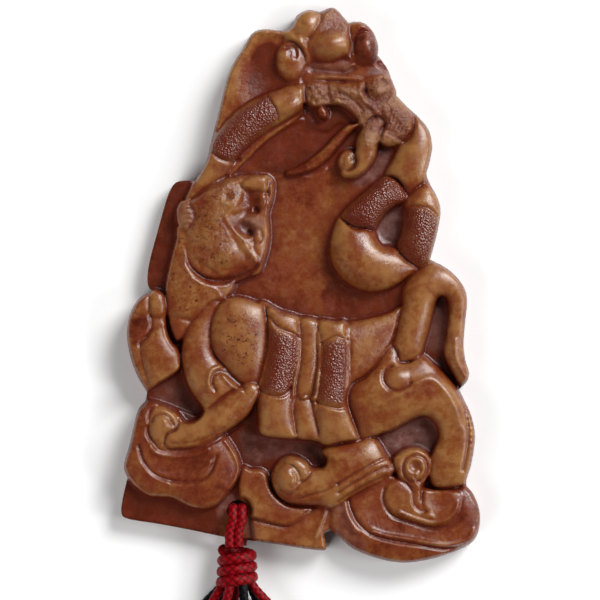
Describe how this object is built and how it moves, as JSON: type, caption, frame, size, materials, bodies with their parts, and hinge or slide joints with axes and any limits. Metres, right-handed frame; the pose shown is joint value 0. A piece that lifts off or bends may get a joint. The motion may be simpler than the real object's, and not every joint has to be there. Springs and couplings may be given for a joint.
{
  "type": "serpentine pendant",
  "caption": "Carved serpentine plaque pendant with a dragon above a tiger-like beast among curled clouds, hung with a knotted red and black cord tassel.",
  "frame": {"origin": "middle of the plaque's width and height, on its flat back, which lies on the ground plane", "axes": "+X to the right and +Y up the carving as it is seen from its front, +Z out of the front, so the tassel runs towards -Y"},
  "size_m": [0.0539, 0.134, 0.0076],
  "materials": {
    "serpentine": "carved by hand and worn to a waxy polish on the high parts, matt purplish grey in the cut grounds",
    "red_cord": "braided crimson cord",
    "black_cord": "braided black cord"
  },
  "bodies": {
    "root": {"carved_plaque": "serpentine", "cord_loop_left": "red_cord", "cord_loop_right": "red_cord", "wrapped_knot": "red_cord", "tassel_cord_1": "black_cord", "tassel_cord_2": "red_cord", "tassel_cord_3": "black_cord", "tassel_cord_4": "red_cord", "tassel_cord_5": "red_cord", "tassel_cord_6": "black_cord", "tassel_cord_7": "black_cord", "tassel_cord_8": "red_cord"}
  },
  "joints": []
}
